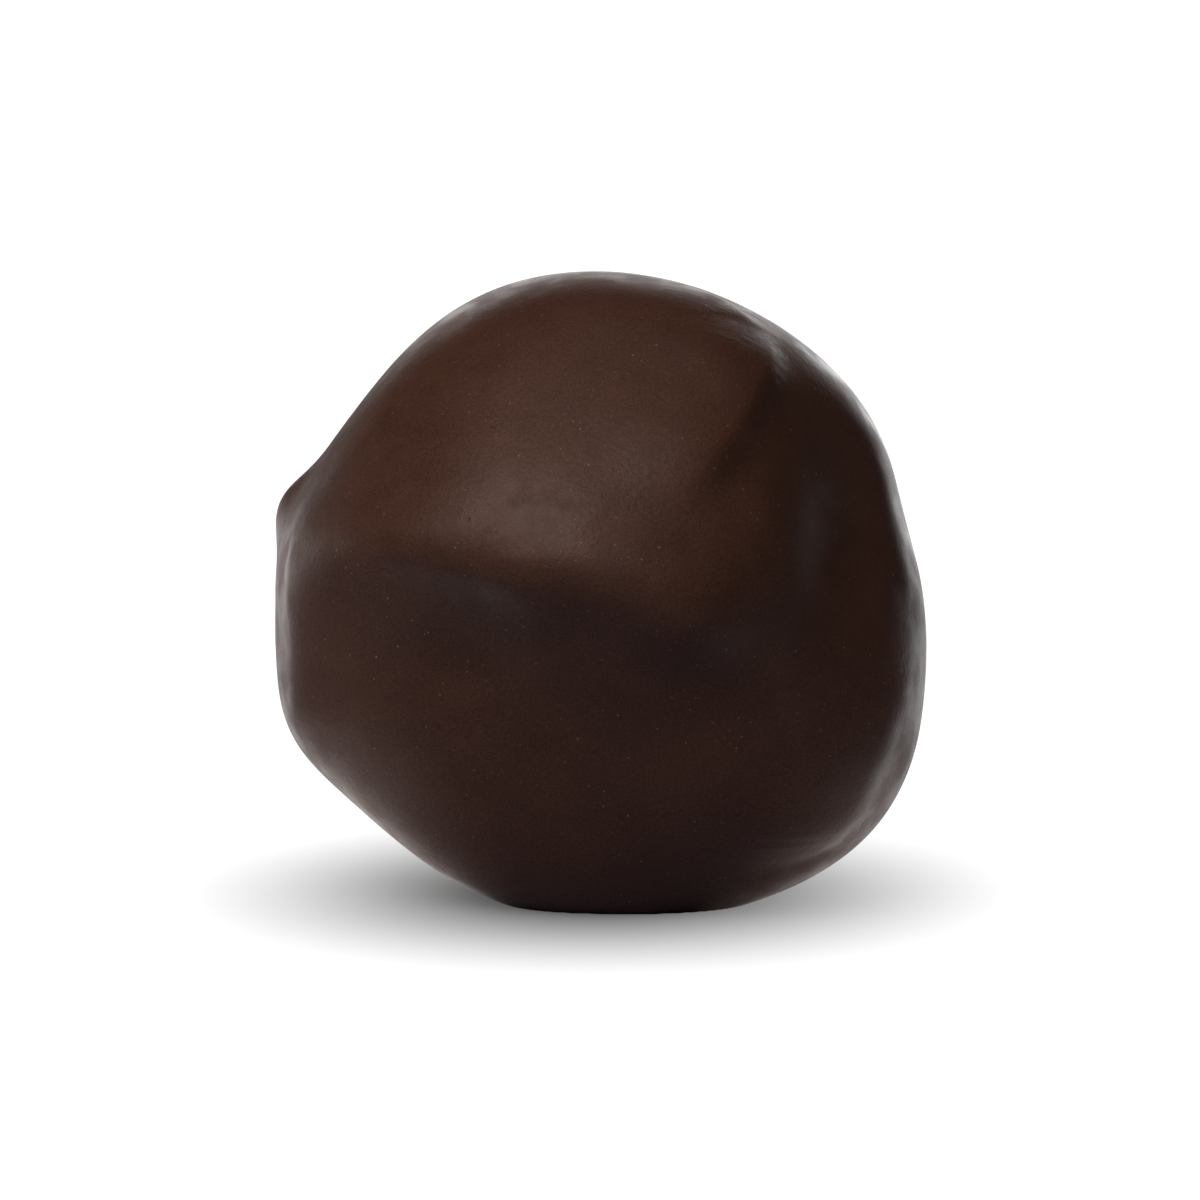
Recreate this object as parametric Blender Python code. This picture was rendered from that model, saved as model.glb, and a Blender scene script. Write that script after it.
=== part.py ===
"""A hand-rolled chocolate truffle: one solid, lumpy ball that rests on a small flat foot.

Units are metres and +Z is up. The side that shows best faces -Y, with its right at +X.
The form is a ball whose radius changes with direction: broad presses and swells from the
rolling hands, and soft ridges where two presses meet.
"""
import math
from typing import NamedTuple

import bmesh
import bpy
import numpy as np

MM = 0.001

# Driving dimensions
BALL_RADIUS = 14.85 * MM
FOOT_DEPTH = 13.85 * MM
SUBDIVISIONS = 5
FOOT_SNAP = 0.04 * MM
FOOT_TOLERANCE = 0.001 * MM

# Chocolate coat
COAT_COLOUR = (0.060, 0.025, 0.015, 1.0)
COAT_ROUGHNESS = 0.5
COAT_SPECULAR = 0.3


class Heading(NamedTuple):
    """A direction from the ball's centre, in degrees."""
    bearing: float   # 0 is the front, 90 the right, -90 the left, 180 the back
    height: float    # above the equator


class Lump(NamedTuple):
    """A broad oval swell, or a press where its rise is below nought."""
    centre: Heading
    along: float     # spread in degrees along its long way
    across: float    # spread in degrees across it
    turn: float      # degrees that the long way is turned up from level
    rise: float      # metres


class Ridge(NamedTuple):
    """A soft crest, or a furrow where its rise is below nought, that runs through headings."""
    path: tuple
    spread: float    # degrees to each side
    rise: float      # metres


LUMPS = {
    "brow_press": Lump(Heading(-5, 34), 18, 13, 0, -0.65 * MM),
    "chin_press": Lump(Heading(-4, -18), 28, 15, 0, -2.35 * MM),
    "low_chin_press": Lump(Heading(-2, -38), 25, 14, 0, -0.90 * MM),
    "front_heel": Lump(Heading(5, -64), 30, 10, 0, 0.90 * MM),
    "right_wall_press": Lump(Heading(57, 18), 17, 12, 75, -1.35 * MM),
    "centre_swell": Lump(Heading(27, 9), 10, 9, 0, 0.35 * MM),
    "thumb_hollow": Lump(Heading(44, 12), 8, 8, 0, -0.30 * MM),
    "left_brow_hollow": Lump(Heading(-27, -4), 16, 10, 0, -1.25 * MM),
    "right_haunch": Lump(Heading(62, -34), 32, 18, 0, 1.90 * MM),
    "right_side_press": Lump(Heading(103, -23), 16, 14, 0, -0.60 * MM),
    "right_waist": Lump(Heading(87, 14), 16, 9, 0, -0.45 * MM),
    "left_side": Lump(Heading(-87, 0), 20, 12, 0, 0.25 * MM),
    "left_haunch": Lump(Heading(-87, -24), 16, 9.5, 0, 0.92 * MM),
    "left_shoulder": Lump(Heading(-87, 39), 24, 16, 0, -0.62 * MM),
    "left_ear": Lump(Heading(-93, 15), 5, 5, 0, 0.75 * MM),
    "back_press": Lump(Heading(180, 5), 30, 22, 0, -1.30 * MM),
    "back_left_press": Lump(Heading(-135, 35), 20, 15, 0, -0.60 * MM),
    "back_right_press": Lump(Heading(135, -15), 20, 15, 0, -0.60 * MM),
    "back_top_press": Lump(Heading(150, 60), 20, 16, 0, -0.50 * MM),
}

RIDGES = {
    "brow_ridge": Ridge(
        (
            Heading(-50, 13), Heading(-38, 15.5), Heading(-28, 15.5),
            Heading(-17, 12), Heading(-2, 9), Heading(12, 4),
        ),
        5.0, 0.40 * MM,
    ),
    "slant_ridge": Ridge(
        (Heading(46, 47), Heading(32, 40), Heading(18, 29), Heading(12, 22)),
        5.0, 0.55 * MM,
    ),
    "left_corner": Ridge(
        (Heading(-53, 14), Heading(-51, 6), Heading(-51, -8), Heading(-54, -16)),
        7.0, 0.35 * MM,
    ),
    "haunch_crest": Ridge(
        (Heading(60, -14), Heading(55, -25), Heading(59, -35), Heading(64, -41)),
        6.0, 0.40 * MM,
    ),
    "fold": Ridge(
        (Heading(50, 77), Heading(67, 69), Heading(64, 62), Heading(56, 54), Heading(53, 48)),
        3.0, 0.22 * MM,
    ),
}


def clear_scene():
    """Remove every object that the scene starts with."""
    for item in list(bpy.data.objects):
        bpy.data.objects.remove(item, do_unlink=True)


def unit(heading):
    """Unit vector of a heading."""
    bearing, height = math.radians(heading.bearing), math.radians(heading.height)
    level = math.cos(height)
    return np.array([level * math.sin(bearing), -level * math.cos(bearing), math.sin(height)])


def lump_rise(directions, lump):
    """Rise of one lump: a bell in the two angles along and across it, nought on the far side."""
    centre = unit(lump.centre)
    level = unit(Heading(lump.centre.bearing + 90, 0))
    upward = unit(Heading(lump.centre.bearing, lump.centre.height + 90))
    turn = math.radians(lump.turn)
    long_way = math.cos(turn) * level + math.sin(turn) * upward
    short_way = math.cos(turn) * upward - math.sin(turn) * level
    facing = directions @ centre
    near = np.where(facing > 0, facing, 1.0)
    along = np.degrees(np.arctan2(directions @ long_way, near)) / lump.along
    across = np.degrees(np.arctan2(directions @ short_way, near)) / lump.across
    return np.where(facing > 0, lump.rise * np.exp(-0.5 * (along ** 2 + across ** 2)), 0.0)


def arc_angle(directions, start, end):
    """Angle in degrees from each direction to the great arc between two headings."""
    first, last = unit(start), unit(end)
    span = math.acos(float(first @ last))
    pole = np.cross(first, last)
    pole /= np.linalg.norm(pole)
    onward = np.cross(pole, first)
    turn = np.clip(np.arctan2(directions @ onward, directions @ first), 0, span)
    nearest = np.cos(turn)[:, None] * first + np.sin(turn)[:, None] * onward
    facing = np.clip(np.sum(directions * nearest, axis=1), -1, 1)
    return np.degrees(np.arccos(facing))


def ridge_rise(directions, ridge):
    """Rise of one ridge: a bell in the angle from the nearest of its arcs."""
    arcs = [arc_angle(directions, start, end) for start, end in zip(ridge.path, ridge.path[1:])]
    away = np.minimum.reduce(arcs) / ridge.spread
    return ridge.rise * np.exp(-0.5 * away ** 2)


def surface_radius(directions):
    """Distance from the ball's centre to the truffle's skin in each direction."""
    radius = np.full(len(directions), BALL_RADIUS)
    for lump in LUMPS.values():
        radius += lump_rise(directions, lump)
    for ridge in RIDGES.values():
        radius += ridge_rise(directions, ridge)
    return radius


def add_ball():
    """Add the plain ball that the truffle is shaped from."""
    bpy.ops.mesh.primitive_ico_sphere_add(subdivisions=SUBDIVISIONS, radius=BALL_RADIUS)
    ball = bpy.context.object
    ball.name = "truffle"
    ball.data.name = "truffle"
    return ball


def shape_skin(mesh):
    """Move each point of the ball along its own direction, out to the skin."""
    points = np.empty(len(mesh.vertices) * 3)
    mesh.vertices.foreach_get("co", points)
    points = points.reshape(-1, 3)
    directions = points / np.linalg.norm(points, axis=1, keepdims=True)
    points = directions * surface_radius(directions)[:, None]
    near_foot = np.abs(points[:, 2] + FOOT_DEPTH) < FOOT_SNAP
    points[near_foot, 2] = -FOOT_DEPTH
    mesh.vertices.foreach_set("co", points.ravel())
    mesh.update()


def cut_foot(mesh):
    """Cut the underside flat at the foot's depth and close it with one face."""
    shape = bmesh.new()
    shape.from_mesh(mesh)
    bmesh.ops.bisect_plane(
        shape,
        geom=shape.verts[:] + shape.edges[:] + shape.faces[:],
        dist=FOOT_TOLERANCE,
        plane_co=(0, 0, -FOOT_DEPTH),
        plane_no=(0, 0, 1),
        clear_inner=True,
    )
    rim = [edge for edge in shape.edges if edge.is_boundary]
    bmesh.ops.holes_fill(shape, edges=rim, sides=len(rim))
    bmesh.ops.recalc_face_normals(shape, faces=shape.faces[:])
    shape.to_mesh(mesh)
    shape.free()


def stand_on_floor(mesh):
    """Put the middle of the outline at the origin, with the foot at height nought."""
    points = np.empty(len(mesh.vertices) * 3)
    mesh.vertices.foreach_get("co", points)
    points = points.reshape(-1, 3)
    low, high = points.min(axis=0), points.max(axis=0)
    points -= np.array([(low[0] + high[0]) / 2, (low[1] + high[1]) / 2, -FOOT_DEPTH])
    mesh.vertices.foreach_set("co", points.ravel())
    mesh.update()


def chocolate():
    """Satin dark chocolate."""
    material = bpy.data.materials.new("chocolate")
    material.use_nodes = True
    shader = material.node_tree.nodes["Principled BSDF"]
    shader.inputs["Base Color"].default_value = COAT_COLOUR
    shader.inputs["Roughness"].default_value = COAT_ROUGHNESS
    shader.inputs["Metallic"].default_value = 0.0
    shader.inputs["Specular IOR Level"].default_value = COAT_SPECULAR
    return material


def keep_in_collection(item):
    """Move the object into a collection named for it."""
    group = bpy.data.collections.new("chocolate_truffle")
    bpy.context.scene.collection.children.link(group)
    for old in list(item.users_collection):
        old.objects.unlink(item)
    group.objects.link(item)


def main():
    """Build the truffle."""
    clear_scene()
    truffle = add_ball()
    shape_skin(truffle.data)
    cut_foot(truffle.data)
    stand_on_floor(truffle.data)
    truffle.data.shade_smooth()
    truffle.data.materials.append(chocolate())
    keep_in_collection(truffle)


main()
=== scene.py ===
"""A hand-rolled chocolate truffle on a white table: its fine skin, its coat, and the studio.

The truffle's form is a ball whose radius changes with direction. The broad presses, swells and
ridges follow the solid's, and finer creases, waves and pits are added here.
"""
import logging
import math
from dataclasses import dataclass, field
from enum import Enum

import bpy
import numpy as np
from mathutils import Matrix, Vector

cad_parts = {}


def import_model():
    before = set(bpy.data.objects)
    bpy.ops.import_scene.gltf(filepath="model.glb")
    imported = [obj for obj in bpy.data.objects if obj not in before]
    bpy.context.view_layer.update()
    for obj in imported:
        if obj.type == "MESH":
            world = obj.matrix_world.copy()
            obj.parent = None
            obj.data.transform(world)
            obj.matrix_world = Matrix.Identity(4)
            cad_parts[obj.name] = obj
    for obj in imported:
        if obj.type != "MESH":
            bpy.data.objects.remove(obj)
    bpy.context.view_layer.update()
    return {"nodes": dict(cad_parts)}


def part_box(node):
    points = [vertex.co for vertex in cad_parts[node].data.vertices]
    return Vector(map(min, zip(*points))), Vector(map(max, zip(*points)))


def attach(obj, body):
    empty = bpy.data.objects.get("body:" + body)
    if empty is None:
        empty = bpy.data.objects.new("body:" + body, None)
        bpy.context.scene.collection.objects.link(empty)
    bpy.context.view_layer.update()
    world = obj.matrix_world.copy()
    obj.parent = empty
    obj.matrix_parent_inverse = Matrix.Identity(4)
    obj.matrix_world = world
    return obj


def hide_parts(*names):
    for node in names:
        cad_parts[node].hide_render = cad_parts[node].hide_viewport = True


LOG = logging.getLogger("truffle")

MM = 0.001

# The photograph's frame, in pixels
PHOTO_WIDTH = 1200
PIXELS_PER_METRE = 21700.0
BALL_ROW = 592.0

# Random values at the corners of a lattice: the start keeps every cell's number above nought
LATTICE_START = 40.0
HASH_AXES = (73856093, 19349663, 83492791)
HASH_SEED = 2654435761
HASH_MIX = 2246822519
HASH_SHIFTS = (15, 13, 16)
HASH_BITS = 32

# Points of the ball's grid are merged on a lattice with this many steps to the radius
MERGE_STEPS = 1e6

# Scattered specks: bumps of noise across a cell, the share of a speck's radius over which it
# fades out, and the strength of the faintest
WOBBLES = 2.5
FADING_SHARE = 0.6
FAINTEST = 0.4

WHITE = (1.0, 1.0, 1.0, 1.0)


@dataclass(frozen=True)
class Heading:
    """A direction from the ball's centre, in degrees."""

    bearing: float
    height: float

    def vector(self) -> np.ndarray:
        """Turn the heading into a unit vector.

        Bearing nought looks to -Y and ninety to +X, and height is above the equator.

        Returns:
            The vector (cos h sin b, -cos h cos b, sin h) for a bearing b and a height h.
        """
        bearing, height = math.radians(self.bearing), math.radians(self.height)
        level = math.cos(height)
        return np.array([level * math.sin(bearing), -level * math.cos(bearing), math.sin(height)])


def path(*places: tuple[float, float]) -> tuple[Heading, ...]:
    """The headings of a path, each given as its bearing and height."""
    return tuple(Heading(bearing, height) for bearing, height in places)


@dataclass(frozen=True)
class Lump:
    """A broad oval swell, or a press where its rise is below nought.

    Its spreads along and across it and the turn of its long way from level are in degrees, and
    its rise is in metres.
    """

    centre: Heading
    along: float
    across: float
    turn: float
    rise: float

    def height(self, directions: np.ndarray) -> np.ndarray:
        """Rise of the lump in each direction.

        The rise falls off as a bell: the exponential of minus half the sum of the squares of the
        angles along and across the lump, each over its spread.

        Args:
            directions: Unit vectors, one a row.

        Returns:
            The rise in metres, nought on the far side.
        """
        centre = self.centre.vector()
        level = Heading(self.centre.bearing + 90, 0).vector()
        upward = Heading(self.centre.bearing, self.centre.height + 90).vector()
        turn = math.radians(self.turn)
        long_way = math.cos(turn) * level + math.sin(turn) * upward
        short_way = math.cos(turn) * upward - math.sin(turn) * level
        facing = directions @ centre
        near = np.where(facing > 0, facing, 1.0)
        along = np.degrees(np.arctan2(directions @ long_way, near)) / self.along
        across = np.degrees(np.arctan2(directions @ short_way, near)) / self.across
        bell = np.exp(-0.5 * (along ** 2 + across ** 2))
        return np.where(facing > 0, self.rise * bell, 0.0)


class Profile(Enum):
    """The shape of a crease seen across it."""

    BELL = "the same slope on both sides"
    LIP = "a slow rise on its right, seen along its path, and a sharp drop on its left"


@dataclass(frozen=True)
class Crease:
    """A crest, or a furrow where its rise is below nought, that runs through headings.

    Its spread to each side is in degrees, as is the drop, which a lip has on its left instead.
    The rise is in metres. The fade is the share of the path over which each end sinks to nought,
    and the steps are the arcs between two headings.
    """

    path: tuple[Heading, ...]
    spread: float
    rise: float
    profile: Profile = Profile.BELL
    drop: float = 0.8
    fade: float = 0.25
    steps: int = 5

    def height(self, directions: np.ndarray) -> np.ndarray:
        """Rise of the crease in each direction.

        The nearest of the path's great arcs gives the angle away from it and its side. The rise
        falls off as the exponential of minus half the square of that angle over the spread, or,
        on the left side of a lip, over the drop. Both ends sink to nought by the smooth step
        3t^2 - 2t^3, where t is the share of the path from its end over the fade.

        Args:
            directions: Unit vectors, one a row.

        Returns:
            The rise in metres.
        """
        away = np.full(len(directions), 180.0)
        side = np.ones(len(directions))
        share = np.zeros(len(directions))
        line = self.smooth_line()
        arcs = list(zip(line, line[1:]))
        for number, (start, end) in enumerate(arcs):
            angle, which, part = self.from_arc(directions, start, end)
            closer = angle < away
            away = np.where(closer, angle, away)
            side = np.where(closer, which, side)
            share = np.where(closer, (number + part) / len(arcs), share)
        spread = self.spread
        if self.profile is Profile.LIP:
            spread = np.where(side > 0, self.drop, self.spread)
        ends = np.clip(np.minimum(share, 1 - share) / self.fade, 0, 1)
        ends = ends * ends * (3 - 2 * ends)
        return self.rise * ends * np.exp(-0.5 * (away / spread) ** 2)

    def smooth_line(self) -> np.ndarray:
        """Places along the smooth curve that runs through the path's headings.

        Between two headings b and c, with a before and d after, the place at share t is half of
        2b + (c - a)t + (2a - 5b + 4c - d)t^2 + (3b - a - 3c + d)t^3, put back to unit length.

        Returns:
            Unit vectors along the curve, one a row.
        """
        stops = [heading.vector() for heading in self.path]
        stops = [2 * stops[0] - stops[1], *stops, 2 * stops[-1] - stops[-2]]
        line = []
        for a, b, c, d in zip(stops, stops[1:], stops[2:], stops[3:]):
            for t in np.arange(self.steps) / self.steps:
                bend = (2 * a - 5 * b + 4 * c - d) * t ** 2 + (3 * b - a - 3 * c + d) * t ** 3
                line.append((2 * b + (c - a) * t + bend) / 2)
        line.append(stops[-2])
        return np.array([place / np.linalg.norm(place) for place in line])

    @staticmethod
    def from_arc(
        directions: np.ndarray, first: np.ndarray, last: np.ndarray
    ) -> tuple[np.ndarray, np.ndarray, np.ndarray]:
        """Angle from each direction to the great arc between two places.

        Args:
            directions: Unit vectors, one a row.
            first: Unit vector of the arc's start.
            last: Unit vector of its end.

        Returns:
            The angle in degrees, the side (above nought on the left), and the share of the arc.
        """
        span = math.acos(float(first @ last))
        pole = np.cross(first, last)
        pole /= np.linalg.norm(pole)
        onward = np.cross(pole, first)
        turn = np.clip(np.arctan2(directions @ onward, directions @ first), 0, span)
        nearest = np.cos(turn)[:, None] * first + np.sin(turn)[:, None] * onward
        facing = np.clip(np.sum(directions * nearest, axis=1), -1, 1)
        return np.degrees(np.arccos(facing)), directions @ pole, turn / span


@dataclass(frozen=True)
class Waves:
    """Uneven skin: smooth noise with a wavelength and a rise in metres."""

    wavelength: float
    rise: float
    seed: int
    octaves: int = 2

    def height(self, points: np.ndarray) -> np.ndarray:
        """Height of the noise at each point.

        Each octave is trilinear noise: random values at the corners of a cubic lattice, blended
        by the smooth step of the place in the cell. Each next octave is half as long and half as
        high.

        Args:
            points: Places in metres, one a row.

        Returns:
            The height in metres, about nought.
        """
        total = np.zeros(len(points))
        scale, share = 1.0, 1.0
        for octave in range(self.octaves):
            lattice = points / (self.wavelength * scale) + LATTICE_START
            total += share * self.blend(lattice, self.seed + octave)
            scale, share = scale / 2, share / 2
        return self.rise * total

    @staticmethod
    def blend(lattice: np.ndarray, seed: int) -> np.ndarray:
        """Smoothly blended corner values, from -1 to 1.

        Args:
            lattice: Places in cells, one a row.
            seed: Which field of random values is read.

        Returns:
            The blended value at each place.
        """
        cell = np.floor(lattice).astype(np.int64)
        part = lattice - cell
        part = part * part * (3 - 2 * part)
        total = np.zeros(len(lattice))
        for corner in range(8):
            step = np.array([corner & 1, corner >> 1 & 1, corner >> 2 & 1])
            weight = np.prod(np.where(step, part, 1 - part), axis=1)
            total += weight * Waves.corner(cell + step, seed)
        return total

    @staticmethod
    def corner(cell: np.ndarray, seed: int) -> np.ndarray:
        """A fixed random value for each lattice corner.

        The corner's three numbers and the seed are each multiplied by a large odd number and
        joined by exclusive or, and the result is mixed three times by a shift and a product.

        Args:
            cell: Whole numbers of the corners, one a row.
            seed: Which field of random values is read.

        Returns:
            A value from -1 to 1 for each corner.
        """
        mask = np.uint64(2 ** HASH_BITS - 1)
        key = cell.astype(np.uint64) * np.array(HASH_AXES, dtype=np.uint64)
        start = np.uint64(seed * HASH_SEED % 2 ** HASH_BITS)
        value = (key[:, 0] ^ key[:, 1] ^ key[:, 2] ^ start) & mask
        for shift in HASH_SHIFTS:
            value = (value ^ value >> np.uint64(shift)) * np.uint64(HASH_MIX) & mask
        return value / 2 ** (HASH_BITS - 1) - 1.0


@dataclass
class TruffleForm:
    """The truffle's skin as a distance from the ball's centre in each direction."""

    ball_radius: float = 14.85 * MM
    foot_depth: float = 13.85 * MM
    lumps: dict[str, Lump] = field(default_factory=lambda: {
        "brow press": Lump(Heading(-5, 39), 18, 13, 0, -0.60 * MM),
        "chin press": Lump(Heading(-4, -18), 28, 15, 0, -2.35 * MM),
        "low chin press": Lump(Heading(-2, -38), 25, 14, 0, -0.90 * MM),
        "front heel": Lump(Heading(5, -64), 30, 10, 0, 0.90 * MM),
        "right wall press": Lump(Heading(57, 18), 17, 12, 75, -1.35 * MM),
        "centre swell": Lump(Heading(27, 9), 10, 9, 0, 0.35 * MM),
        "thumb hollow": Lump(Heading(45, 10), 8, 8, 0, -0.35 * MM),
        "left brow hollow": Lump(Heading(-27, -4), 16, 10, 0, -1.25 * MM),
        "brow pimple": Lump(Heading(-33, 8), 2.4, 1.6, 20, 0.06 * MM),
        "brow tongue": Lump(Heading(13, 1), 7, 6, 0, 0.35 * MM),
        "right haunch": Lump(Heading(62, -34), 32, 18, 0, 1.78 * MM),
        "right side press": Lump(Heading(103, -23), 16, 14, 0, -0.60 * MM),
        "right waist": Lump(Heading(87, 14), 16, 9, 0, -0.45 * MM),
        "left side": Lump(Heading(-87, 0), 20, 12, 0, 0.25 * MM),
        "left haunch": Lump(Heading(-87, -24), 16, 9.5, 0, 0.92 * MM),
        "left shoulder": Lump(Heading(-87, 39), 24, 16, 0, -0.62 * MM),
        "left ear": Lump(Heading(-93, 15), 5, 5, 60, 0.75 * MM),
        "back press": Lump(Heading(180, 5), 30, 22, 0, -1.30 * MM),
        "back left press": Lump(Heading(-135, 35), 20, 15, 0, -0.60 * MM),
        "back right press": Lump(Heading(135, -15), 20, 15, 0, -0.60 * MM),
        "back top press": Lump(Heading(150, 60), 20, 16, 0, -0.50 * MM),
    })
    creases: dict[str, Crease] = field(default_factory=lambda: {
        "brow ridge": Crease(
            path((26, -8), (16, 0), (8, 5.5), (-3, 8.5), (-14, 9), (-24, 10)),
            6.0, 0.60 * MM, Profile.LIP, drop=4.6, fade=0.25,
        ),
        "left brow ridge": Crease(
            path((-10, 9), (-18, 9.5), (-26, 11), (-35, 12.8), (-43, 12), (-52, 7)),
            6.0, 0.45 * MM, Profile.LIP, drop=2.8, fade=0.32,
        ),
        "left corner": Crease(
            path((-56, 24), (-53, 16), (-51, 8), (-50, 0)),
            7.0, 0.28 * MM, fade=0.5,
        ),
        "slant ridge": Crease(
            path((66, 60), (50, 50), (34, 41), (24, 33), (17, 26), (10, 18)),
            11.0, 0.60 * MM, Profile.LIP, drop=3.2, fade=0.4,
        ),
        "haunch crest": Crease(
            path((74, -4), (59, -13), (53, -23), (50, -33), (54, -43)),
            14.0, 0.52 * MM, Profile.LIP, drop=4.6,
        ),
        "fold": Crease(
            path((50, 79), (67, 69), (64, 62), (59, 57)),
            6.0, 0.10 * MM, Profile.LIP, drop=1.8, fade=0.4,
        ),
        "branch": Crease(path((48, 20), (57, 15), (63, 8), (65, -2)), 1.5, 0.09 * MM),
        "low wrinkle": Crease(path((36, -47), (48, -45), (57, -38)), 1.4, -0.07 * MM),
        "right edge crest": Crease(path((78, 30), (73, 18), (70, 8), (69, -4)), 4.0, 0.14 * MM),
        "left edge crest": Crease(
            path((-75, -28), (-70, -14), (-69, 0), (-70, 12), (-75, 22)),
            7.0, 0.26 * MM, Profile.LIP, drop=3.2,
        ),
    })
    waves: tuple[Waves, ...] = (
        Waves(7.0 * MM, 0.03 * MM, 3),
        Waves(2.2 * MM, 0.008 * MM, 17),
    )

    def radius(self, directions: np.ndarray) -> np.ndarray:
        """Distance from the ball's centre to the skin: the ball plus every lump, crease and wave.

        Args:
            directions: Unit vectors, one a row.

        Returns:
            The distance in metres in each direction.
        """
        radius = np.full(len(directions), self.ball_radius)
        for lump in self.lumps.values():
            radius += lump.height(directions)
        for crease in self.creases.values():
            radius += crease.height(directions)
        points = directions * self.ball_radius
        for waves in self.waves:
            radius += waves.height(points)
        return radius


@dataclass(frozen=True)
class BallGrid:
    """A closed ball of four-sided cells: the six sides of a cube, each a grid, blown out round."""

    cells: int = 126

    def directions_and_faces(self) -> tuple[np.ndarray, np.ndarray]:
        """Unit vectors of the grid's points, and the corners of its cells.

        Each side is a grid of two parameters from -1 to 1, both bent by the tangent so that the
        cells come out nearly equal, and each point is divided by its length. Points shared by
        neighbouring sides are merged.

        Returns:
            The unit vectors, one a row, and four point numbers for each cell.
        """
        line = np.tan(np.linspace(-1, 1, self.cells + 1) * math.pi / 4)
        u, v = np.meshgrid(line, line, indexing="ij")
        one = np.ones_like(u)
        sides = ((one, u, v), (-one, -u, v), (-u, one, v), (u, -one, v), (u, v, one), (-u, v, -one))
        points = np.concatenate([np.stack(side, axis=-1).reshape(-1, 3) for side in sides])
        points /= np.linalg.norm(points, axis=1, keepdims=True)
        keys = np.round(points * MERGE_STEPS).astype(np.int64)
        _, first, number = np.unique(keys, axis=0, return_index=True, return_inverse=True)
        row, column = np.meshgrid(np.arange(self.cells), np.arange(self.cells), indexing="ij")
        corner = (row * (self.cells + 1) + column).ravel()
        next_row = corner + self.cells + 1
        cell = np.stack([corner, next_row, next_row + 1, corner + 1], axis=1)
        faces = np.concatenate([cell + side * (self.cells + 1) ** 2 for side in range(6)])
        return points[first], number.reshape(-1)[faces]


class Nodes:
    """Short ways to add and join shader nodes in one tree."""

    def __init__(self, tree: bpy.types.NodeTree) -> None:
        """Keep the tree that nodes are added to."""
        self.tree = tree

    def add(self, kind: str, settings: dict | None = None, **inputs: object) -> bpy.types.Node:
        """Add a node.

        Args:
            kind: Blender's name for the node, without its ShaderNode prefix.
            settings: Properties of the node itself.
            **inputs: Sockets by name, with a space written as an underscore. A socket of another
                node is linked, and any other value is set.

        Returns:
            The new node.
        """
        node = self.tree.nodes.new("ShaderNode" + kind)
        for name, value in (settings or {}).items():
            setattr(node, name, value)
        for name, value in inputs.items():
            self.feed(node.inputs[name.replace("_", " ")], value)
        return node

    def feed(self, socket: bpy.types.NodeSocket, value: object) -> None:
        """Link another node's socket to this one, or set this one's value.

        Args:
            socket: The input that is fed.
            value: An output socket, or the value to set.
        """
        if isinstance(value, bpy.types.NodeSocket):
            self.tree.links.new(value, socket)
        else:
            socket.default_value = value

    def maths(self, operation: str, *values: object) -> bpy.types.NodeSocket:
        """Add a Math node.

        Args:
            operation: Blender's name for the sum, such as MULTIPLY.
            *values: Sockets or numbers, in the order that the node takes them.

        Returns:
            The result's socket.
        """
        node = self.tree.nodes.new("ShaderNodeMath")
        node.operation = operation
        for number, value in enumerate(values):
            self.feed(node.inputs[number], value)
        return node.outputs[0]

    def blend(
        self, amount: object, low: object, high: object, kind: str = "MIX"
    ) -> bpy.types.NodeSocket:
        """Mix two colours.

        Args:
            amount: Socket or number; nought gives the low colour alone.
            low: Socket or colour.
            high: Socket or colour.
            kind: Blender's name for the way of mixing.

        Returns:
            The mixed colour's socket.
        """
        node = self.tree.nodes.new("ShaderNodeMix")
        node.data_type = "RGBA"
        node.blend_type = kind
        self.feed(node.inputs["Factor"], amount)
        self.feed(node.inputs["A"], low)
        self.feed(node.inputs["B"], high)
        return node.outputs["Result"]

    def ramp(
        self, value: object, low: float, high: float, to: tuple[float, float] = (0.0, 1.0)
    ) -> bpy.types.NodeSocket:
        """Turn a range of a value smoothly into another range, clamped at both ends.

        Args:
            value: Socket or number.
            low: The value that gives the new range's first end.
            high: The value that gives its second end.
            to: The new range.

        Returns:
            The result's socket.
        """
        node = self.tree.nodes.new("ShaderNodeMapRange")
        node.interpolation_type = "SMOOTHSTEP"
        self.feed(node.inputs["Value"], value)
        limits = {"From Min": low, "From Max": high, "To Min": to[0], "To Max": to[1]}
        for name, number in limits.items():
            node.inputs[name].default_value = number
        return node.outputs["Result"]

    def noise(self, place: object, spacing: float, detail: float) -> bpy.types.NodeSocket:
        """Add fractal noise.

        Args:
            place: Socket of the Object coordinates.
            spacing: The size of its bumps in metres.
            detail: How many finer layers it has.

        Returns:
            The socket of its value, from nought to one.
        """
        return self.add("TexNoise", Vector=place, Scale=1 / spacing, Detail=detail).outputs["Fac"]

    def mask(self, name: str, place: object, **values: float) -> bpy.types.NodeSocket:
        """Add one of the shared node groups.

        Args:
            name: The group's name.
            place: Socket of the Object coordinates.
            **values: The group's numbers by name.

        Returns:
            The mask's socket.
        """
        group = bpy.data.node_groups[name]
        return self.add("Group", {"node_tree": group}, Vector=place, **values).outputs["Mask"]


def new_group(name: str, inputs: dict[str, float]) -> tuple[bpy.types.NodeTree, Nodes]:
    """Start a shader node group that reads a place and some numbers and puts out a mask.

    Args:
        name: The group's name.
        inputs: Its number sockets and their usual values; a Vector socket comes first.

    Returns:
        The group and the helper that adds nodes to it.
    """
    group = bpy.data.node_groups.new(name, "ShaderNodeTree")
    group.interface.new_socket("Vector", in_out="INPUT", socket_type="NodeSocketVector")
    for label, value in inputs.items():
        socket = group.interface.new_socket(label, in_out="INPUT", socket_type="NodeSocketFloat")
        socket.default_value = value
    group.interface.new_socket("Mask", in_out="OUTPUT", socket_type="NodeSocketFloat")
    return group, Nodes(group)


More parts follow.
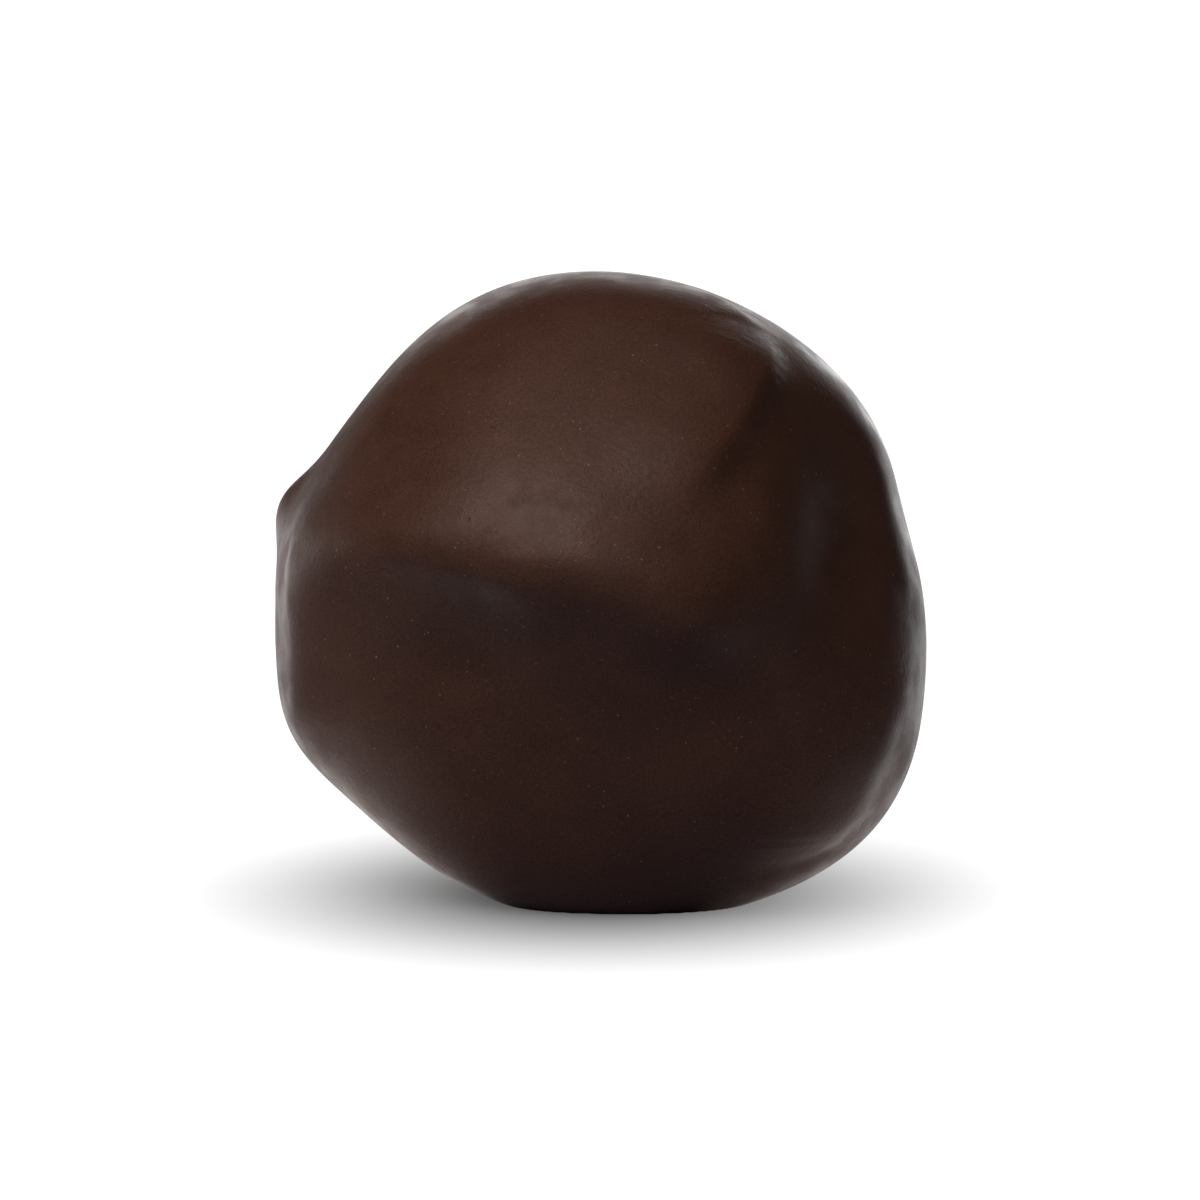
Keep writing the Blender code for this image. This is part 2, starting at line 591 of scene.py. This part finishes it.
def speck_group() -> bpy.types.NodeTree:
    """Scattered round specks, for pale cocoa grains, dark pits and smudges alike.

    Noise first moves each place by its value less a half, times the wander and the spacing. A
    cell pattern then gives the distance to the nearest random point. The mask is one in the
    speck's middle and falls to nought at its edge, and only where the cell's own random number is
    below the share of cells that hold a speck. A second random number makes some specks fainter.

    Returns:
        The group, with the mask as its output.
    """
    usual = {"Spacing": 1.0, "Size": 0.1, "Share": 0.3, "Wander": 0.0}
    group, nodes = new_group("scattered_specks", usual)
    start = group.nodes.new("NodeGroupInput")
    scale = nodes.maths("DIVIDE", 1.0, start.outputs["Spacing"])
    wobble_scale = nodes.maths("MULTIPLY", scale, WOBBLES)
    wobble = nodes.add("TexNoise", Vector=start.outputs["Vector"], Scale=wobble_scale)
    away = nodes.add("VectorMath", {"operation": "SUBTRACT"})
    nodes.feed(away.inputs[0], wobble.outputs["Color"])
    away.inputs[1].default_value = (0.5, 0.5, 0.5)
    reach = nodes.maths("MULTIPLY", start.outputs["Wander"], start.outputs["Spacing"])
    shift = nodes.add("VectorMath", {"operation": "SCALE"}, Scale=reach)
    nodes.feed(shift.inputs[0], away.outputs[0])
    place = nodes.add("VectorMath", {"operation": "ADD"})
    nodes.feed(place.inputs[0], start.outputs["Vector"])
    nodes.feed(place.inputs[1], shift.outputs[0])
    cells = nodes.add("TexVoronoi", {"feature": "F1"}, Vector=place.outputs[0], Scale=scale)
    size = nodes.maths("DIVIDE", start.outputs["Size"], start.outputs["Spacing"])
    inward = nodes.maths("SUBTRACT", 1.0, nodes.maths("DIVIDE", cells.outputs["Distance"], size))
    near = nodes.ramp(inward, 0.0, FADING_SHARE)
    draw = nodes.add("SeparateColor", Color=cells.outputs["Color"])
    chosen = nodes.maths("LESS_THAN", draw.outputs["Red"], start.outputs["Share"])
    strength = nodes.maths("MULTIPLY", draw.outputs["Green"], 1 - FAINTEST)
    strength = nodes.maths("ADD", strength, FAINTEST)
    mask = nodes.maths("MULTIPLY", nodes.maths("MULTIPLY", near, chosen), strength)
    end = group.nodes.new("NodeGroupOutput")
    nodes.feed(end.inputs["Mask"], mask)
    return group


def patch_group() -> bpy.types.NodeTree:
    """Soft uneven patches.

    The mask is fractal noise at a place, turned by the smooth step into nought where it lies
    below the threshold less the softness, and one above the threshold plus the softness.

    Returns:
        The group, with the mask as its output.
    """
    usual = {"Spacing": 1.0, "Threshold": 0.5, "Softness": 0.1, "Detail": 2.0}
    group, nodes = new_group("soft_patches", usual)
    start = group.nodes.new("NodeGroupInput")
    scale = nodes.maths("DIVIDE", 1.0, start.outputs["Spacing"])
    detail = start.outputs["Detail"]
    noise = nodes.add("TexNoise", Vector=start.outputs["Vector"], Scale=scale, Detail=detail)
    low = nodes.maths("SUBTRACT", start.outputs["Threshold"], start.outputs["Softness"])
    above = nodes.maths("SUBTRACT", noise.outputs["Fac"], low)
    width = nodes.maths("MULTIPLY", start.outputs["Softness"], 2.0)
    mask = nodes.ramp(nodes.maths("DIVIDE", above, width), 0.0, 1.0)
    end = group.nodes.new("NodeGroupOutput")
    nodes.feed(end.inputs["Mask"], mask)
    return group


@dataclass(frozen=True)
class Specks:
    """Scattered round specks, with their spacing and size in metres.

    The share is that of the cells that hold a speck. The wander bends the specks out of round,
    and is a share of the spacing.
    """

    spacing: float
    size: float
    share: float
    wander: float = 0.0

    def mask(self, nodes: Nodes, place: bpy.types.NodeSocket) -> bpy.types.NodeSocket:
        """Add the specks to a material.

        Args:
            nodes: The helper that adds to the material's tree.
            place: Socket of the Object coordinates.

        Returns:
            The mask's socket.
        """
        values = {"Spacing": self.spacing, "Size": self.size, "Share": self.share}
        return nodes.mask("scattered_specks", place, Wander=self.wander, **values)


@dataclass(frozen=True)
class Patches:
    """Soft patches, with their spacing in metres and the noise's threshold, softness and detail."""

    spacing: float
    threshold: float
    softness: float
    detail: float

    def mask(self, nodes: Nodes, place: bpy.types.NodeSocket) -> bpy.types.NodeSocket:
        """Add the patches to a material.

        Args:
            nodes: The helper that adds to the material's tree.
            place: Socket of the Object coordinates.

        Returns:
            The mask's socket.
        """
        values = {"Spacing": self.spacing, "Threshold": self.threshold, "Detail": self.detail}
        return nodes.mask("soft_patches", place, Softness=self.softness, **values)


@dataclass(frozen=True)
class ChocolateFinish:
    """Satin dark chocolate: its colours, gloss and fine skin."""

    coat: tuple[float, float, float, float] = (0.080, 0.0335, 0.0205, 1.0)
    deep: tuple[float, float, float, float] = (0.070, 0.0290, 0.0180, 1.0)
    speck: tuple[float, float, float, float] = (0.30, 0.185, 0.120, 1.0)
    smudge: tuple[float, float, float, float] = (0.085, 0.026, 0.014, 1.0)
    mottle: Patches = Patches(3.0 * MM, threshold=0.5, softness=0.16, detail=3.0)
    smudges: Specks = Specks(3.0 * MM, size=0.34 * MM, share=0.30, wander=0.25)
    smudge_strength: float = 0.6
    drifts: Patches = Patches(2.6 * MM, threshold=0.56, softness=0.07, detail=1.0)
    drift_grains: Specks = Specks(0.30 * MM, size=0.055 * MM, share=0.35)
    loose_grains: Specks = Specks(0.60 * MM, size=0.070 * MM, share=0.45)
    grain_strength: float = 0.55
    dust_noise: tuple[float, float] = (0.3, 0.7)
    dust_shade: tuple[float, float] = (0.82, 1.18)
    roughness: float = 0.42
    roughness_spread: float = 0.06
    gloss_patches: Patches = Patches(1.6 * MM, threshold=0.5, softness=0.2, detail=3.0)
    specular: float = 0.20
    specular_tint: tuple[float, float, float, float] = (1.0, 0.80, 0.72, 1.0)
    peel_spacing: float = 0.28 * MM
    peel_height: float = 0.015 * MM
    peel_detail: float = 2.0
    grain_spacing: float = 0.09 * MM
    grain_height: float = 0.005 * MM
    grain_detail: float = 1.0
    pits: Specks = Specks(1.2 * MM, size=0.10 * MM, share=0.40, wander=0.1)
    pit_depth: float = 0.03 * MM

    def material(self) -> bpy.types.Material:
        """Build the material.

        Returns:
            The chocolate, which reads Object coordinates.
        """
        material = bpy.data.materials.new("satin_chocolate")
        material.use_nodes = True
        nodes = Nodes(material.node_tree)
        shader = material.node_tree.nodes["Principled BSDF"]
        shader.inputs["Specular IOR Level"].default_value = self.specular
        shader.inputs["Specular Tint"].default_value = self.specular_tint
        place = nodes.add("TexCoord").outputs["Object"]
        grain = nodes.noise(place, self.grain_spacing, self.grain_detail)
        nodes.feed(shader.inputs["Base Color"], self.colour(nodes, place, grain))
        nodes.feed(shader.inputs["Roughness"], self.gloss(nodes, place))
        nodes.feed(shader.inputs["Normal"], self.skin(nodes, place, grain))
        return material

    def colour(
        self, nodes: Nodes, place: bpy.types.NodeSocket, grain: bpy.types.NodeSocket
    ) -> bpy.types.NodeSocket:
        """Brown with darker patches, reddish smudges and pale grains, some of them in drifts.

        The grain's noise lightens and darkens it like a fine dust.

        Args:
            nodes: The helper that adds to the material's tree.
            place: Socket of the Object coordinates.
            grain: Socket of the grain's noise.

        Returns:
            The colour's socket.
        """
        base = nodes.blend(self.mottle.mask(nodes, place), self.coat, self.deep)
        smudges = nodes.maths("MULTIPLY", self.smudges.mask(nodes, place), self.smudge_strength)
        base = nodes.blend(smudges, base, self.smudge)
        drift_grains = self.drift_grains.mask(nodes, place)
        drift_grains = nodes.maths("MULTIPLY", drift_grains, self.drifts.mask(nodes, place))
        grains = nodes.maths("MAXIMUM", drift_grains, self.loose_grains.mask(nodes, place))
        base = nodes.blend(nodes.maths("MULTIPLY", grains, self.grain_strength), base, self.speck)
        shade = nodes.ramp(grain, *self.dust_noise, self.dust_shade)
        dust = nodes.add("CombineColor", Red=shade, Green=shade, Blue=shade).outputs["Color"]
        return nodes.blend(1.0, base, dust, "MULTIPLY")

    def gloss(self, nodes: Nodes, place: bpy.types.NodeSocket) -> bpy.types.NodeSocket:
        """Roughness that wanders a little in patches.

        Args:
            nodes: The helper that adds to the material's tree.
            place: Socket of the Object coordinates.

        Returns:
            The roughness's socket.
        """
        limits = (self.roughness - self.roughness_spread, self.roughness + self.roughness_spread)
        return nodes.ramp(self.gloss_patches.mask(nodes, place), 0.0, 1.0, limits)

    def skin(
        self, nodes: Nodes, place: bpy.types.NodeSocket, grain: bpy.types.NodeSocket
    ) -> bpy.types.NodeSocket:
        """Fine orange peel, finer grain and small pits, as height under the normal.

        Args:
            nodes: The helper that adds to the material's tree.
            place: Socket of the Object coordinates.
            grain: Socket of the grain's noise.

        Returns:
            The normal's socket.
        """
        peel = nodes.noise(place, self.peel_spacing, self.peel_detail)
        height = nodes.maths("MULTIPLY", peel, self.peel_height)
        height = nodes.maths("ADD", height, nodes.maths("MULTIPLY", grain, self.grain_height))
        pits = nodes.maths("MULTIPLY", self.pits.mask(nodes, place), self.pit_depth)
        height = nodes.maths("SUBTRACT", height, pits)
        return nodes.add("Bump", Height=height, Distance=1.0, Strength=1.0).outputs["Normal"]


@dataclass
class Truffle:
    """The truffle's fine skin, which stands for the solid of the same name."""

    form: TruffleForm = field(default_factory=TruffleForm)
    grid: BallGrid = field(default_factory=BallGrid)
    finish: ChocolateFinish = field(default_factory=ChocolateFinish)
    node: str = "truffle"
    name: str = "truffle_skin"
    clearance: float = 0.004 * MM

    def build(self) -> bpy.types.Object:
        """Make the skin, fit it into the solid's box, dress it and let it ride.

        Returns:
            The finished piece.
        """
        directions, faces = self.grid.directions_and_faces()
        points = directions * self.form.radius(directions)[:, None]
        points[:, 2] = np.maximum(points[:, 2], -self.form.foot_depth)
        points = self.fit(points)
        mesh = bpy.data.meshes.new(self.name)
        mesh.from_pydata(points.tolist(), [], faces.tolist())
        mesh.shade_smooth()
        mesh.update()
        piece = bpy.data.objects.new(self.name, mesh)
        bpy.context.scene.collection.objects.link(piece)
        mesh.materials.append(self.finish.material())
        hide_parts(self.node)
        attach(piece, "root")
        LOG.info("%s: %d points, %d faces", self.name, len(points), len(faces))
        return piece

    def fit(self, points: np.ndarray) -> np.ndarray:
        """Scale and move the skin so that its box lies just inside the solid's box.

        The clearance is left at the sides and the top, and the foot stays on the floor.

        Args:
            points: The skin about the ball's centre, one point a row.

        Returns:
            The same points in the shared frame.
        """
        low, high = (np.array(corner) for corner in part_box(self.node))
        low, high = low + self.clearance, high - self.clearance
        low[2] -= self.clearance
        skin_low, skin_high = points.min(axis=0), points.max(axis=0)
        LOG.info("scale to the solid's box: %s", (high - low) / (skin_high - skin_low))
        return low + (points - skin_low) * (high - low) / (skin_high - skin_low)


@dataclass(frozen=True)
class SoftLight:
    """A large soft panel aimed at the truffle.

    Its offset from the ball's centre and its size are in metres, and its power is in watts. The
    flags say whether it gives diffuse light and whether it shows in the gloss.
    """

    name: str
    offset: tuple[float, float, float]
    size: tuple[float, float]
    power: float
    diffuse: bool = True
    glossy: bool = True

    def build(self, target: Vector) -> bpy.types.Object:
        """Make the panel.

        Args:
            target: The point that it faces; its offset starts there.

        Returns:
            The light.
        """
        light = bpy.data.lights.new(self.name, "AREA")
        light.shape = "RECTANGLE"
        light.size, light.size_y = self.size
        light.energy = self.power
        lamp = bpy.data.objects.new(self.name, light)
        lamp.location = target + Vector(self.offset)
        lamp.rotation_euler = (-Vector(self.offset)).to_track_quat("-Z", "Y").to_euler()
        lamp.visible_camera = False
        lamp.visible_diffuse = self.diffuse
        lamp.visible_glossy = self.glossy
        bpy.context.scene.collection.objects.link(lamp)
        return lamp


@dataclass
class Studio:
    """The floor, the surroundings, soft panels and the camera at the photograph's angle.

    A turn is a range of the Y share of a place's heading from the origin, which is -1 in front
    and 1 behind. A reach is a range of distances.
    """

    middle_height: float = 13.85 * MM
    camera_elevation: float = 8.0
    camera_distance: float = 0.2535
    lens: float = 165.0
    floor_half: float = 3.0
    floor_roughness: float = 0.9
    floor_seen: tuple[float, float, float, float] = (0.12, 0.12, 0.12, 1.0)
    floor_front: tuple[float, float, float, float] = (0.30, 0.33, 0.44, 1.0)
    floor_back: tuple[float, float, float, float] = (0.95, 0.95, 0.95, 1.0)
    far_turn: tuple[float, float] = (0.2, 0.8)
    near_turn: tuple[float, float] = (-0.9, 0.0)
    near_reach: tuple[float, float] = (0.018, 0.038)
    floor_throw: float = 0.95
    # Painted shadow round the foot: the floor's own light, seen by the camera only, grows from the
    # first value to the second over the reach from the middle
    painted_shadow_glow: tuple[float, float] = (0.01, 1.05)
    painted_shadow_reach: tuple[float, float] = (0.001, 0.0230)
    painted_shadow_middle: tuple[float, float, float] = (-0.0003, -0.001, 0.0)
    surround_seen: float = 1.05
    surround_light: float = 0.005
    panels: tuple[SoftLight, ...] = (
        SoftLight("key_panel", (-0.170, -0.220, 0.354), (0.36, 0.32), 1.42, glossy=False),
        SoftLight("sheen_panel", (-0.171, -0.296, 0.293), (0.30, 0.26), 1.08, diffuse=False),
        SoftLight("top_panel", (0.0, 0.02, 0.45), (0.30, 0.25), 0.12),
        SoftLight("left_rim_panel", (-0.345, 0.29, 0.02), (0.40, 0.12), 0.18),
        SoftLight("right_rim_panel", (0.155, 0.42, 0.03), (0.10, 0.14), 0.24),
        SoftLight("back_panel", (0.0, 0.43, 0.12), (0.30, 0.14), 0.33),
    )

    def build(self) -> None:
        """Make the floor, the surroundings, the panels and the camera."""
        self.floor()
        self.surroundings()
        middle = Vector((0, 0, self.middle_height))
        for panel in self.panels:
            panel.build(middle)
        self.camera(middle)
        bpy.context.scene.view_settings.view_transform = "Standard"
        LOG.info("studio: %d panels", len(self.panels))

    def floor(self) -> bpy.types.Object:
        """Make the floor, a flat square.

        Returns:
            The floor.
        """
        half = self.floor_half
        mesh = bpy.data.meshes.new("floor")
        corners = [(-half, -half, 0), (half, -half, 0), (half, half, 0), (-half, half, 0)]
        mesh.from_pydata(corners, [], [(0, 1, 2, 3)])
        floor = bpy.data.objects.new("floor", mesh)
        bpy.context.scene.collection.objects.link(floor)
        mesh.materials.append(self.floor_material())
        return floor

    def floor_material(self) -> bpy.types.Material:
        """Make the floor's material.

        To the camera the floor is a dark grey whose own light grows outward from the foot to white,
        which leaves a painted soft shadow round the foot. To everything else it is dim in front,
        where the room is dark, and white with a steady light of its own behind and in a ring close
        to the foot.

        Returns:
            The material.
        """
        material = bpy.data.materials.new("white_floor")
        material.use_nodes = True
        nodes = Nodes(material.node_tree)
        shader = material.node_tree.nodes["Principled BSDF"]
        shader.inputs["Roughness"].default_value = self.floor_roughness
        shader.inputs["Specular IOR Level"].default_value = 0.0
        shader.inputs["Emission Color"].default_value = WHITE
        place = nodes.add("TexCoord").outputs["Object"]
        seen = nodes.add("LightPath").outputs["Is Camera Ray"]
        bright = self.bright_floor(nodes, place)
        bounce = nodes.blend(bright, self.floor_front, self.floor_back)
        nodes.feed(shader.inputs["Base Color"], nodes.blend(seen, bounce, self.floor_seen))
        away = nodes.add("VectorMath", {"operation": "DISTANCE"})
        nodes.feed(away.inputs[0], place)
        away.inputs[1].default_value = self.painted_shadow_middle
        # Painted shadow: the floor's own light to the camera is low at the foot and grows with the
        # distance from it
        painted_shadow_glow = nodes.ramp(away.outputs["Value"], *self.painted_shadow_reach, self.painted_shadow_glow)
        throw = nodes.maths("MULTIPLY", bright, self.floor_throw)
        throw = nodes.maths("MULTIPLY", throw, nodes.maths("SUBTRACT", 1.0, seen))
        strength = nodes.maths("ADD", nodes.maths("MULTIPLY", painted_shadow_glow, seen), throw)
        nodes.feed(shader.inputs["Emission Strength"], strength)
        return material

    def bright_floor(self, nodes: Nodes, place: bpy.types.NodeSocket) -> bpy.types.NodeSocket:
        """Mask of the floor that throws light back: behind, and in a ring close to the foot.

        The ring fades towards the front.

        Args:
            nodes: The helper that adds to the floor's tree.
            place: Socket of the Object coordinates.

        Returns:
            The mask's socket.
        """
        outward = nodes.add("VectorMath", {"operation": "NORMALIZE"})
        nodes.feed(outward.inputs[0], place)
        heading = nodes.add("SeparateXYZ", Vector=outward.outputs["Vector"])
        behind = nodes.ramp(heading.outputs["Y"], *self.far_turn)
        beside = nodes.ramp(heading.outputs["Y"], *self.near_turn)
        apart = nodes.add("VectorMath", {"operation": "LENGTH"})
        nodes.feed(apart.inputs[0], place)
        close = nodes.ramp(apart.outputs["Value"], *self.near_reach, (1.0, 0.0))
        return nodes.maths("MAXIMUM", behind, nodes.maths("MULTIPLY", beside, close))

    def surroundings(self) -> None:
        """Make the world: white to the camera and a dim even grey to everything else."""
        world = bpy.data.worlds.new("white_surroundings")
        bpy.context.scene.world = world
        world.use_nodes = True
        nodes = Nodes(world.node_tree)
        background = world.node_tree.nodes["Background"]
        background.inputs["Color"].default_value = WHITE
        seen = nodes.add("LightPath").outputs["Is Camera Ray"]
        strength = nodes.ramp(seen, 0.0, 1.0, (self.surround_light, self.surround_seen))
        nodes.feed(background.inputs["Strength"], strength)

    def camera(self, middle: Vector) -> bpy.types.Object:
        """Make the camera, a little above the truffle, with the ball's centre at its photo row.

        Args:
            middle: The ball's centre.

        Returns:
            The camera.
        """
        elevation = math.radians(self.camera_elevation)
        upward = Vector((0, math.sin(elevation), math.cos(elevation)))
        back = Vector((0, -math.cos(elevation), math.sin(elevation)))
        target = middle - upward * ((PHOTO_WIDTH / 2 - BALL_ROW) / PIXELS_PER_METRE)
        data = bpy.data.cameras.new("camera")
        data.lens = self.lens
        camera = bpy.data.objects.new("camera", data)
        camera.location = target + back * self.camera_distance
        camera.rotation_euler = (-back).to_track_quat("-Z", "Y").to_euler()
        bpy.context.scene.collection.objects.link(camera)
        bpy.context.scene.camera = camera
        return camera


def main() -> None:
    """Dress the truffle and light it."""
    logging.basicConfig(level=logging.INFO, format="%(name)s: %(message)s")
    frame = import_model()
    LOG.info("solid nodes: %s", sorted(frame["nodes"]))
    speck_group()
    patch_group()
    Truffle().build()
    Studio().build()


if __name__ == "__main__":
    main()
